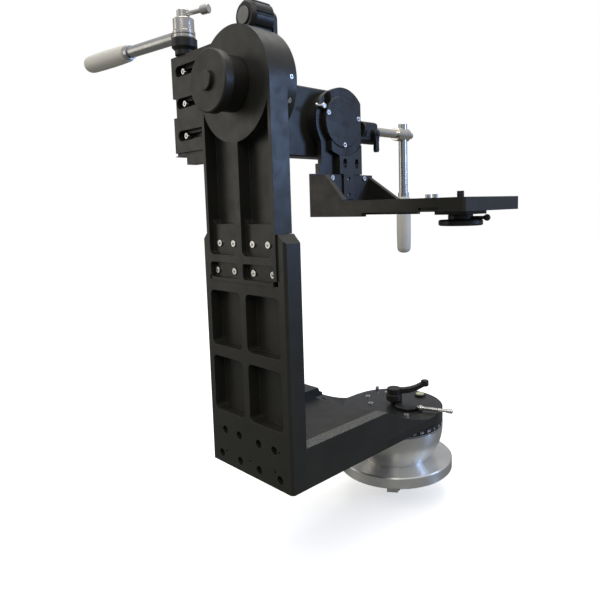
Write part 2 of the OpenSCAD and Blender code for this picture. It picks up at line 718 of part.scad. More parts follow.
module lug_bracket() color("#1c1c1f") translate([-lug_x, 0, tilt_z]) difference() {
    union() {
        translate([-lug_w / 2, -tilt_back_y, boss_r - lug_w])
            cube([lug_w, tilt_back_y - lug_y1 + lug_wall, lug_foot_h]);
        translate([-lug_w / 2, -lug_y1 + gap, boss_r - lug_w])
            cube([lug_w, lug_wall - gap, lug_z - boss_r + lug_w]);
        translate([0, -lug_y1 + lug_wall, lug_z]) along_y() cylinder(r = lug_w / 2, h = lug_wall - gap);
    }
    translate([0, -lug_y1 + lug_wall + over, lug_z]) along_y() cylinder(r = lug_spindle_r + fit,
        h = lug_wall + over * 2);
}
lug_foot_h = 22;
module lug_knob() color("#161616") translate([-lug_x, -lug_y1, tilt_z + lug_z]) along_y() difference() {
    union() {
        rounded_pin(lug_knob_r, lug_y0 - lug_y1 - over, 3 * chamfer);
        translate([0, 0, lug_y0 - lug_y1 - over - eps]) cylinder(r = lug_cap_r, h = over);
        translate([0, 0, -lug_wall + over]) cylinder(r = lug_spindle_r, h = lug_wall);
    }
    for (i = [0 : lug_flutes - 1]) rotate([0, 0, i * 360 / lug_flutes])
        translate([lug_knob_r + over, 0, -over]) cylinder(r = lug_flute_r, h = lug_y0, $fn = 24);
}
lug_flutes = 8;
lug_flute_r = 2.5;
module roll_housing() color("#1c1c1f") translate([-beam_x1, 0, roll_z]) along_x() difference() {
    rounded_pin(housing_r, housing_t, small_chamfer);
    translate([0, 0, -over]) cylinder(r = roll_shaft_r + fit, h = housing_t + over + over);
}
module roll_shaft() color("silver") translate([-beam_x1 - roll_bore_d + over, 0, roll_z]) along_x()
    cylinder(r = roll_shaft_r, h = roll_bore_d - over + housing_t + gap);
// Outline of the roll unit's plates about the roll axis, Z up and Y to the right
module roll_plate() color("#1c1c1f") translate([-roll_x0 + gap, 0, roll_z]) difference() {
    union() {
        along_x() cylinder(r = roll_r, h = roll_plate_t, $fn = 96);
        translate([0, -strap_w, strap_z0 - roll_z]) cube([roll_plate_t, strap_w * 2, roll_z - strap_z0]);
        translate([0, -foot_w, strap_z0 - roll_z]) cube([roll_plate_t, foot_w * 2, foot_h]);
    }
    for (s = [-1, 1]) translate([-over, rail_y + s * rail_slot_y, rail_screw_at - roll_z]) along_x()
        cylinder(r = screw_r + eps, h = roll_plate_t + over + over);
    for (a = cover_screw_angles) rotate([a, 0, 0])
        translate([roll_plate_t - cover_seat, 0, cover_screw_pcd]) along_x()
            cylinder(r = screw_r + eps, h = roll_plate_t);
}
cover_seat = 7;
rail_screw_at = 474.5;
module roll_cover() color("#161616") translate([-roll_x1, 0, roll_z]) difference() {
    along_x() rounded_pin(cover_r, cover_t, small_chamfer);
    for (a = cover_screw_angles) rotate([a, 0, 0])
        translate([-over, 0, cover_screw_pcd]) along_x() {
            cylinder(r = screw_r + eps, h = cover_t + over + over);
            translate([0, 0, cover_t + over - cover_sink]) cylinder(r = screw_head_r + gap, h = cover_t);
        }
}
cover_sink = 4;
module cover_screws() color("silver") translate([-roll_x1 + cover_t - cover_sink, 0, roll_z])
    for (a = cover_screw_angles) rotate([a, 0, 0])
        translate([0, 0, cover_screw_pcd]) along_x() socket_screw(cover_t - cover_sink + cover_seat - over);
module arch_plate() color("#161616") translate([-roll_x1, 0, roll_z]) difference() {
    intersection() {
        along_x() cylinder(r = arch_r, h = arch_t, $fn = 96);
        translate([-over, -arch_cut_y, -arch_r])
            cube([arch_t + over * 2, arch_cut_y + arch_flat_y, arch_r * 2]);
    }
    translate([-over, 0, 0]) along_x() cylinder(r = cover_r + cover_fit, h = arch_t + over * 2);
}
module roll_lock_lever() color("silver") translate([-roll_x1 + gap, -roll_lock_y, roll_z + roll_lock_z]) {
    along_x() rounded_pin(roll_lock_r, roll_lock_h, small_chamfer);
    translate([roll_lock_h / 2, 0, 0]) along_y() {
        cylinder(r = roll_lock_rod_r, h = roll_lock_len);
        translate([0, 0, roll_lock_len]) sphere(r = roll_lock_ball_r, $fn = 32);
    }
}
module rail_screws() color("silver") for (s = [-1, 1])
    translate([-roll_x1 + rail_t - rail_screw_sink, rail_y + s * rail_slot_y, rail_screw_at]) along_x()
        socket_screw(rail_t - rail_screw_sink + roll_plate_t, hh = rail_screw_sink);
rail_screw_sink = 4;
// screws of the strip, put in from behind: shank and head radius, head height
strip_screw_r = 3.2;
strip_head_r = 5;
strip_head_h = 3;
module height_rail() color("#1c1c1f") translate([-roll_x1, rail_y, 0]) difference() {
    union() {
        translate([gap, -rail_w, rail_mid_z]) cube([rail_t - gap, rail_w * 2, roll_z - rail_mid_z]);
        translate([back_x0 - back_x1, rail_strip_y - rail_y - rail_strip_w, rail_low_z])
            cube([rail_t - back_x0 + back_x1, rail_strip_w * 2, rail_mid_z - rail_low_z + eps]);
    }
    translate([-over, -rail_y, roll_z]) along_x() cylinder(r = arch_r + gap,
        h = rail_t + over * 2, $fn = 96);
    for (s = [-1, 1]) translate([0, s * rail_slot_y, 0]) {
        translate([-over, 0, 0])
            slot_z(rail_screw_at, rail_screw_at + height_travel, screw_r + gap, rail_t + over * 2);
        translate([rail_t - rail_screw_sink - gap, 0, 0])
            slot_z(rail_screw_at, rail_screw_at + height_travel, screw_head_r + gap, rail_t);
    }
    for (z = rail_hole_z) translate([0, rail_strip_y - rail_y, z]) along_x()
        cylinder(r = strip_screw_r + eps, h = rail_t + over);
}
// A slot along Z, cut along X from x 0
module slot_z(z0, z1, r, h) {
    for (z = [z0, z1]) translate([0, 0, z]) along_x() cylinder(r = r, h = h);
    translate([0, -r, z0]) cube([h, r + r, z1 - z0]);
}
module bracket_back() color("#1c1c1f") translate([-back_x0 + gap, bracket_y, 0]) difference() {
    translate([0, -bracket_w, platform_z - platform_t - base_plate_t])
        cube([back_t - gap, bracket_w * 2, back_top_z - platform_z + platform_t + base_plate_t]);
    for (z = rail_hole_z) translate([-over, rail_strip_y, z]) along_x() {
        cylinder(r = strip_screw_r + eps, h = back_t + over);
        cylinder(r = strip_head_r + eps, h = strip_head_h + gap + over);
    }
    for (y = back_screw_y) translate([-over, y, back_top_z - back_screw_drop]) along_x()
        cylinder(r = screw_r + eps, h = back_t + over);
}
screw_edge = 8;
// Gusset outline: X to the right, height up
module gusset(points) along_y() linear_extrude(gusset_t) polygon(points);
module bracket_gusset_near() color("#1c1c1f") translate([0, bracket_y - bracket_w + gusset_t, 0])
    gusset([[-back_x1, platform_z], [-back_x1, gusset_top_z], [-gusset_top_x, gusset_top_z],
        [-gusset_low_x, platform_z + gusset_toe], [-gusset_low_x, platform_z]]);
module bracket_gusset_far() color("#1c1c1f") translate([0, bracket_y + bracket_w, 0])
    gusset([[-back_x1, platform_z], [-back_x1, back_top_z - far_drop], [-far_gusset_x, platform_z]]);
far_drop = 4;
module bracket_base() color("#1c1c1f") for (y = [-bracket_w, bracket_w - base_strip_w])
    translate([-back_x1, bracket_y + y, platform_z - platform_t - base_plate_t])
        cube([back_x1 + base_strip_x, base_strip_w, base_plate_t]);
module camera_platform() color("#1c1c1f")
    translate([-back_x1, bracket_y, platform_z - platform_t]) difference() {
    linear_extrude(platform_t) polygon([[0, -bracket_w], [back_x1 + platform_x - platform_edge, -bracket_w],
        [back_x1 + platform_x, -bracket_w + platform_edge],
            [back_x1 + platform_x, bracket_w - platform_edge],
        [back_x1 + platform_x - platform_edge, bracket_w], [0, bracket_w]]);
    translate([back_x1, 0, -over]) slot_x(lens_slot_x0, lens_slot_x1, lens_slot_w, platform_t + over * 2);
    translate([back_x1, 0, -over])
        slot_x(lens_slot_x0, lens_slot_x1, lens_slot_w + platform_edge, block_recess + over);
    for (x = lens_screw_x) translate([back_x1 + x, 0, platform_t - screw_edge])
        cylinder(r = screw_r + eps, h = screw_edge + over);
    // slot in the near side
    translate([back_x1 + side_slot_x0, -bracket_w - over, side_slot_z])
        cube([side_slot_x1 - side_slot_x0, side_slot_d + over, side_slot_h]);
}
block_recess = 4;
side_slot_x0 = 99;
side_slot_x1 = 130;
side_slot_z = 1.5;
side_slot_h = 4;
side_slot_d = 2.5;
// screws of the bracket: strip from behind, back plate, and the two on the platform
module bracket_screws() color("silver") {
    for (z = rail_hole_z) translate([-back_x0 + gap + strip_head_h + gap, bracket_y + rail_strip_y, z])
        rotate([0, -90, 0]) socket_screw(back_t - strip_head_h, strip_screw_r, strip_head_r, strip_head_h);
    for (y = back_screw_y) translate([-back_x1, bracket_y + y, back_top_z - back_screw_drop]) along_x()
        socket_screw(back_t - gap - gap, hh = screw_head_h / 2);
    for (x = lens_screw_x) translate([x, bracket_y, platform_z])
        socket_screw(screw_edge - over, hh = lens_screw_h);
}
clamp_face_z = platform_z - platform_t - block_h - gap;
module camera_screw() color("#2a2a2a") translate([lens_knob_x, bracket_y, clamp_face_z]) {
    translate([0, 0, -over]) cylinder(r = camera_shank_r, h = platform_z - clamp_face_z + stud_lift + over);
    translate([0, 0, platform_z - clamp_face_z + stud_lift]) cylinder(r = camera_screw_r,
        h = camera_screw_out - stud_lift);
    translate([0, 0, -clamp_neck_h]) rounded_pin(clamp_neck_r, clamp_neck_h, small_chamfer);
    translate([0, 0, -clamp_neck_h - clamp_knob_h + eps]) rounded_pin(clamp_knob_r, clamp_knob_h);
    translate([0, 0, -clamp_ball_r]) rotate([0, 90, clamp_yaw]) {
        cylinder(r = clamp_lever_r, h = clamp_lever_len);
        translate([0, 0, clamp_lever_len]) sphere(r = clamp_ball_r, $fn = 32);
    }
}
clamp_yaw = 15;
module platform_clamp() color("#2a2a2a")
    translate([0, bracket_y, platform_z - platform_t - block_h]) difference() {
    translate([block_x0, -block_w, 0]) cube([block_x1 - block_x0, block_w * 2, block_h]);
    translate([lens_knob_x, 0, -over]) cylinder(r = camera_shank_r + fit, h = block_h + over * 2);
}
// The left handle is drawn about its clamp's axis
module at_left(z) translate([-left_x, -left_y, tilt_z + tilt_plate_top + z]) children();
module left_base() color("#161616") at_left(0) difference() {
    rotate_extrude() polygon([[0, 0], [left_neck_r, 0], [left_neck_r, left_neck_h],
        [left_base_r, left_neck_h + left_cone_h], [left_base_r, left_base_h - small_chamfer],
        [left_base_r - small_chamfer, left_base_h], [0, left_base_h]]);
    translate([0, 0, left_base_h - bolt_deep]) cylinder(r = bolt_r + fit, h = left_base_h);
}
bolt_r = 4;
bolt_deep = 12;
left_head_z = left_base_h + gap;
rod_z = left_head_z + rod_up;
module left_head() color("#8d8d90") at_left(left_head_z) difference() {
    union() {
        for (i = [0, 1]) translate([0, 0, i * (ring_h - eps)]) rounded_pin(ring_r, ring_h, small_chamfer);
        translate([0, 0, ring_h * 2 - eps * 2])
            rounded_pin(head_r - over, head_h - ring_h * 2, small_chamfer);
    }
    translate([0, 0, -over]) cylinder(r = bolt_r + fit, h = head_h + over * 2);
    translate([0, 0, rod_up]) rotate([0, -90, left_yaw]) translate([0, 0, head_r - rod_seat])
        cylinder(r = spigot_r + eps, h = head_r);
}
rod_seat = 8;
spigot_r = 4.6;
rod_start = left_base_r + gap * 2;
module on_left_rod(z) at_left(rod_z) rotate([0, -90, left_yaw]) translate([0, 0, z]) children();
module left_tube() color("silver") on_left_rod(head_r - rod_seat) {
    cylinder(r = spigot_r, h = rod_start - head_r + rod_seat + over);
    translate([0, 0, rod_start - head_r + rod_seat])
        cylinder(r = tube_r, h = left_reach - rod_start + grip_seat);
    translate([0, 0, left_reach - head_r + rod_seat - collar_len]) cylinder(r = collar_r, h = collar_len);
}
grip_seat = 40;
// The grip's outline, as shares of its radius and length
grip_shares = [[0, 0], [0.84, 0], [0.91, 0.012], [0.925, 0.06], [0.97, 0.2], [1, 0.4], [1, 0.7],
    [0.985, 0.86],
    [0.955, 0.92], [0.88, 0.955], [0.72, 0.98], [0.5, 0.995], [0.3, 1], [0, 1]];
module grip() difference() {
    rotate_extrude() polygon([for (p = grip_shares) [p[0] * grip_r, p[1] * grip_len]]);
    translate([0, 0, -over]) cylinder(r = tube_r + eps, h = grip_seat + over + over);
    translate([0, 0, grip_len - grip_hole_d]) cylinder(r = grip_hole_r, h = grip_hole_d + over);
}
module left_grip() color("ivory") on_left_rod(left_reach) grip();
module left_lever() color("silver") at_left(left_head_z + head_h + gap) {
    translate([0, 0, -left_head_z - head_h - gap + left_base_h - bolt_deep + over])
        cylinder(r = bolt_r, h = left_head_z + head_h + gap - left_base_h + bolt_deep);
    rounded_pin(cap_r, cap_h, small_chamfer);
    translate([0, 0, cap_h / 2]) rotate([0, lever_tilt, lever_yaw]) {
        cylinder(r = lever_tube_r, h = lever_arm);
        translate([0, 0, lever_arm]) rounded_pin(lever_bell_r, lever_bell_r * 2, small_chamfer);
    }
}
lever_yaw = 20;
lever_tilt = 88;
// The right handle is drawn about its rod's axis, along Y
module at_right(y) translate([-right_x, y, right_z]) rotate([-90, 0, 0]) children();
module right_clamp() color("#161616") difference() {
    union() {
        at_right(right_y0) rounded_pin(right_body_r, right_body_len);
        translate([-right_x, right_y0 + chamfer, right_z - right_lobe_drop]) rotate([-90, 0, 0])
            rounded_pin(right_lobe_r, right_body_len - chamfer * 2);
        translate([-right_x - stub_t / 2, 0, right_z - stub_w / 2])
            cube([stub_t, right_y0 + chamfer * 2, stub_w]);
    }
    at_right(right_y0 + right_bore_y) cylinder(r = right_rod_r + fit, h = right_body_len);
    // seat on the roll plate and the cover's room
    translate([-roll_x0, 0, roll_z]) along_x() cylinder(r = roll_r + eps, h = roll_x0, $fn = 96);
    translate([-beam_x1, 0, roll_z]) along_x() cylinder(r = housing_r + gap * 2, h = housing_t + gap);
    // flat and thread of the clamping lever
    translate([-right_flat_x, right_flat_y, right_z - right_body_r * 2])
        cube([right_body_r, right_body_len, right_body_r * 4]);
    translate([-right_flat_x - lever_bolt_len, right_lever_y, right_lever_z]) along_x()
        cylinder(r = lever_bolt_r + fit, h = lever_bolt_len + over);
}
right_flat_x = 100.4;
right_flat_in = 14;
right_flat_y = right_y0 + right_flat_in;
right_lever_in = 9;
right_lever_y = right_y0 + right_body_len - right_lever_in;
lever_drop = 6;
right_lever_z = right_z - lever_drop;
// ends short of the rod
lever_bolt_len = 2.4;
stub_t = 7;
stub_w = 16;
right_bore_y = 12;
lever_bolt_r = 3;
module right_clamp_lever() color("#161616") translate([-right_flat_x + gap, right_lever_y, right_lever_z]) {
    along_x() {
        rounded_pin(right_boss_r, right_boss_t, small_chamfer);
        translate([0, 0, -lever_bolt_len]) cylinder(r = lever_bolt_r, h = lever_bolt_len + over);
        translate([0, 0, right_boss_t - eps]) rounded_pin(right_cap_r, right_cap_h, small_chamfer);
    }
    translate([small_chamfer, 0, 0]) rotate([90, 0, 90]) linear_extrude(right_boss_t - small_chamfer * 2)
        polygon([for (p = right_arm_shares) [p[0] * right_boss_r, -p[1] * right_lever_len]]);
}
right_boss_r = 7;
right_boss_t = 8;
right_cap_r = 4;
right_cap_h = 2;
// The lever's outline, as shares of its boss radius and of its length
right_arm_shares = [[-0.9, 0], [0.9, 0], [0.55, 0.45], [0.6, 0.9], [0.35, 1], [-0.35, 1], [-0.6, 0.9],
    [-0.55, 0.45]];
module right_rod() color("silver") {
    at_right(right_y0 + right_bore_y + over) cylinder(r = right_rod_r,
        h = right_body_len - right_bore_y + right_rod_len);
    difference() {
        at_right(right_y0 + right_body_len + right_rod_len) {
            rounded_pin(right_collar_r, right_collar_len + right_collar_r, small_chamfer);
            translate([0, 0, right_collar_len + right_collar_r - eps])
                rounded_pin(right_thumb_r, right_thumb_len - right_collar_r);
        }
        translate([-right_x, right_tube_y, right_z - right_collar_r - over])
            cylinder(r = tube_r + eps, h = right_collar_r * 2 + over * 2);
    }
}
module right_tube() color("silver") translate([-right_x, right_tube_y, right_z]) {
    translate([0, 0, -right_tube_len - grip_seat])
        rounded_pin(tube_r, right_tube_len + grip_seat + right_collar_r + right_tube_up, small_chamfer);
    translate([0, 0, -right_tube_len]) cylinder(r = collar_r, h = collar_len);
}
module right_grip() color("ivory") translate([-right_x, right_tube_y, right_z - right_tube_len])
    rotate([180, 0, 0]) grip();

base_flange();
base_bowl();
flange_screws();
anti_twist_key();
tie_down_stud();
tie_down_nut();
pan_shaft();
pan_scale_ring();
pan_drag_plate();
pan_bearing();
pan_drum();
pan_lock_hub();
pan_lock_lever();
pan_drag_knob();
pan_drag_lever();
level_bezel();
level_vial();
horizontal_arm();
arm_step_block();
saddle_screws();
lower_column_plate();
foot_screws();
upper_column_plate();
frame_screws();
tilt_hub();
tilt_bearing();
tilt_drag_knob();
tilt_shaft();
tilt_plate();
slot_screws();
tilt_beam();
lug_bracket();
lug_knob();
roll_housing();
roll_shaft();
roll_plate();
roll_cover();
cover_screws();
arch_plate();
roll_lock_lever();
rail_screws();
height_rail();
bracket_back();
bracket_gusset_near();
bracket_gusset_far();
bracket_base();
camera_platform();
bracket_screws();
camera_screw();
platform_clamp();
left_base();
left_head();
left_tube();
left_grip();
left_lever();
right_clamp();
right_clamp_lever();
right_rod();
right_tube();
right_grip();
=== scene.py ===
import math
import bpy
import numpy as np
from mathutils import Matrix, Vector


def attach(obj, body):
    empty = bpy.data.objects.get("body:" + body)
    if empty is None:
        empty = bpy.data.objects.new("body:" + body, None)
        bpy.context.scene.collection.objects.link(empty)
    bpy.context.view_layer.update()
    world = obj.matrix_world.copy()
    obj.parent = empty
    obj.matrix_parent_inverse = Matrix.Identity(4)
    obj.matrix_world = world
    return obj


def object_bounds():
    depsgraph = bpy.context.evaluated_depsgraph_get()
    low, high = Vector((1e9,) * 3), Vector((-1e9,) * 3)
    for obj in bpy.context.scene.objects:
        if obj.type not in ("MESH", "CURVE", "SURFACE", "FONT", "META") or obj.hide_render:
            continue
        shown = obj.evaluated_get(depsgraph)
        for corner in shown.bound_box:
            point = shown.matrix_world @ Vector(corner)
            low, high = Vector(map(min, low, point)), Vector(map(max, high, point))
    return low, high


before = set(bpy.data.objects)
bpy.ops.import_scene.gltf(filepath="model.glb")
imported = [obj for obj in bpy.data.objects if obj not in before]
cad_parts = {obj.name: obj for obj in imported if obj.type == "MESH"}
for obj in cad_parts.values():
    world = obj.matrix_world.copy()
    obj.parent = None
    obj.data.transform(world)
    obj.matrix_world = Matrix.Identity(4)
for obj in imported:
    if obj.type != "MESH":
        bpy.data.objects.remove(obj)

cadBox = [list(map(float, corner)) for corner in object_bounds()]
scene = bpy.context.scene
mm = 0.001

# camera solved from the photograph's straight edges and circles
cameraSetup = {
    "place": (0.53443, -0.68915, 0.41029),
    "azimuth": 45.05, "elevation": -6.28, "roll": -1.54,
    "lens": 33.86, "shiftX": -0.0351, "shiftY": -0.0524, "sensor": 36, "near": 0.05, "far": 50,
}


# level axes from azimuth and elevation, then rolled: right = level right * cos roll + level up * sin roll
def makeCamera(setup):
    az, el, ro = (math.radians(setup[k]) for k in ("azimuth", "elevation", "roll"))
    forward = Vector((-math.sin(az) * math.cos(el), math.cos(az) * math.cos(el), math.sin(el)))
    rightLevel = Vector((math.cos(az), math.sin(az), 0))
    upLevel = rightLevel.cross(forward)
    right = rightLevel * math.cos(ro) + upLevel * math.sin(ro)
    up = upLevel * math.cos(ro) - rightLevel * math.sin(ro)
    data = bpy.data.cameras.new("photoCamera")
    data.sensor_width = setup["sensor"]
    data.lens = setup["lens"]
    data.shift_x, data.shift_y = setup["shiftX"], setup["shiftY"]
    data.clip_start, data.clip_end = setup["near"], setup["far"]
    camera = bpy.data.objects.new("photoCamera", data)
    turn = Matrix((right, up, -forward)).transposed().to_4x4()
    camera.matrix_world = Matrix.Translation(setup["place"]) @ turn
    scene.collection.objects.link(camera)
    scene.camera = camera


makeCamera(cameraSetup)
print("camera set")


# adds and joins the shader nodes of one material; every pattern reads Object coordinates
class Graph:
    def __init__(self, name):
        self.material = bpy.data.materials.new(name)
        self.material.use_nodes = True
        self.tree = self.material.node_tree
        self.tree.nodes.clear()
        output = self.add("ShaderNodeOutputMaterial")
        self.shader = self.add("ShaderNodeBsdfPrincipled")
        self.join(self.shader.outputs[0], output.inputs[0])
        self.place = self.add("ShaderNodeTexCoord").outputs["Object"]

    def add(self, kind, **values):
        node = self.tree.nodes.new(kind)
        for key, value in values.items():
            if key in node.bl_rna.properties:
                setattr(node, key, value)
            else:
                node.inputs[key].default_value = value
        return node

    def join(self, source, target):
        self.tree.links.new(source, target)

    def noise(self, scale, detail):
        node = self.add("ShaderNodeTexNoise", Scale=scale, Detail=detail)
        self.join(self.place, node.inputs["Vector"])
        return node.outputs["Fac"]

    def span(self, value, low, high, fromLow=0.3, fromHigh=0.7):
        node = self.add("ShaderNodeMapRange")
        for i, number in enumerate((fromLow, fromHigh, low, high)):
            node.inputs[i + 1].default_value = number
        self.join(value, node.inputs[0])
        return node.outputs[0]

    def mixColor(self, factor, first, second):
        node = self.add("ShaderNodeMix", data_type="RGBA")
        self.join(factor, node.inputs[0])
        for socket, value in ((node.inputs[6], first), (node.inputs[7], second)):
            if isinstance(value, tuple):
                socket.default_value = (*value, 1)
            else:
                self.join(value, socket)
        return node.outputs[2]

    def multiply(self, first, second):
        node = self.add("ShaderNodeMath", operation="MULTIPLY")
        self.join(first, node.inputs[0])
        self.join(second, node.inputs[1])
        return node.outputs[0]

    def along(self, direction):
        dot = self.add("ShaderNodeVectorMath", operation="DOT_PRODUCT")
        self.join(self.place, dot.inputs[0])
        dot.inputs[1].default_value = direction
        return dot.outputs["Value"]


# what a finish has unless its own entry says otherwise; lengths in mm, noise scales per metre
plainFinish = {
    "metallic": 0, "specular": 0.5, "coat": 0, "coatRough": 0.2, "soft": 0, "softDepth": 2,
    "mottle": 22, "smear": 60, "roughSpan": 0.06,
    "grain": 2200, "bump": 0.12, "depth": 0.05, "edge": 0.5,
    "dust": 700, "dustAmount": 0.25, "dustFrom": 0.62, "dustTo": 0.82,
    "wear": 0, "wearColour": (0.30, 0.29, 0.28), "wearFacing": (0.78, 0.985),
    "wearNoise": 160, "wearLeast": 0.05, "wearFrom": 0.35, "wearTo": 0.68,
    "scuff": 1100, "scuffLeast": 0.12, "scuffMost": 0.75, "scuffFrom": 0.40, "scuffTo": 0.66, "bandEdge": 0.4,
    "ringBump": 0.1, "ringDepth": 0.02, "ringWander": 0.6, "ringDetail": 2.0, "ringDetailScale": 0.5,
}
wavesPerMetre = 0.314   # a ring wave of this scale repeats once in a metre


# colour: dark to light by broad noise, then specks, then rubbed edges (how far the rounded normal leaves the
# flat one, times patches), then scuffs where place . direction is past a start; roughness: broad noise about
# its middle; normal: rounded edges, fine grain, then lathe rings about an axis
def makeFinish(name, recipe):
    r = {**plainFinish, **recipe}
    g = Graph(name)
    shader = g.shader
    for socket, key in (("Metallic", "metallic"), ("Coat Weight", "coat"), ("Coat Roughness", "coatRough"),
                        ("Subsurface Weight", "soft"), ("Specular IOR Level", "specular")):
        shader.inputs[socket].default_value = r[key]
    shader.inputs["Subsurface Scale"].default_value = r["softDepth"] * mm
    colour = g.mixColor(g.span(g.noise(r["mottle"], 4), 0, 1), r["dark"], r["light"])
    speck = g.span(g.noise(r["dust"], 2), 0, r["dustAmount"], r["dustFrom"], r["dustTo"])
    colour = g.mixColor(speck, colour, r.get("dustColour", r["light"]))
    bevel = g.add("ShaderNodeBevel", samples=4, Radius=r["edge"] * mm)   # an edge of 0 leaves it off
    if r["wear"]:
        flat = g.add("ShaderNodeNewGeometry").outputs["Normal"]
        facing = g.add("ShaderNodeVectorMath", operation="DOT_PRODUCT")
        g.join(bevel.outputs[0], facing.inputs[0])
        g.join(flat, facing.inputs[1])
        patches = g.span(g.noise(r["wearNoise"], 3), r["wearLeast"], r["wear"], r["wearFrom"], r["wearTo"])
        rub = g.multiply(g.span(facing.outputs["Value"], 1, 0, *r["wearFacing"]), patches)
        colour = g.mixColor(rub, colour, r["wearColour"])
    if "wornBand" in r:
        direction, start, tint = r["wornBand"]
        band = g.span(g.along(direction), 0, 1, start, start + r["bandEdge"] * mm)
        scuffs = g.span(g.noise(r["scuff"], 3), r["scuffLeast"], r["scuffMost"], r["scuffFrom"], r["scuffTo"])
        colour = g.mixColor(g.multiply(band, scuffs), colour, tint)
    g.join(colour, shader.inputs["Base Color"])
    smear = g.span(g.noise(r["smear"], 4), r["rough"] - r["roughSpan"], r["rough"] + r["roughSpan"])
    g.join(smear, shader.inputs["Roughness"])
    bump = g.add("ShaderNodeBump", Strength=r["bump"], Distance=r["depth"] * mm)
    g.join(g.noise(r["grain"], 2), bump.inputs["Height"])
    if r["edge"]:
        g.join(bevel.outputs[0], bump.inputs["Normal"])
    last = bump.outputs[0]
    if "turned" in r:   # the tangent runs round Z; a quarter turn stretches the sheen across the lathe marks
        around = g.add("ShaderNodeVectorMath", operation="CROSS_PRODUCT")
        around.inputs[0].default_value = (0, 0, 1)
        g.join(g.place, around.inputs[1])
        g.join(around.outputs[0], shader.inputs["Tangent"])
        shader.inputs["Anisotropic"].default_value = r["turned"]
        shader.inputs["Anisotropic Rotation"].default_value = 0.25
    if "rings" in r:
        centre, axis, pitch = r["rings"]
        about = g.add("ShaderNodeMapping")
        about.inputs["Location"].default_value = tuple(-c for c in centre)
        g.join(g.place, about.inputs["Vector"])
        wave = g.add("ShaderNodeTexWave", wave_type="RINGS", rings_direction=axis,
                     Scale=wavesPerMetre / (pitch * mm), Distortion=r["ringWander"], Detail=r["ringDetail"])
        wave.inputs["Detail Scale"].default_value = r["ringDetailScale"]
        g.join(about.outputs[0], wave.inputs["Vector"])
        lathe = g.add("ShaderNodeBump", Strength=r["ringBump"], Distance=r["ringDepth"] * mm)
        g.join(wave.outputs["Fac"], lathe.inputs["Height"])
        g.join(last, lathe.inputs["Normal"])
        last = lathe.outputs[0]
    g.join(last, shader.inputs["Normal"])
    return g.material


# one colour, dark to light by noise, at one roughness
def plainCoat(name, scale, detail, dark, light, rough):
    g = Graph(name)
    g.join(g.mixColor(g.span(g.noise(scale, detail), 0, 1), dark, light), g.shader.inputs["Base Color"])
    g.shader.inputs["Roughness"].default_value = rough
    return g


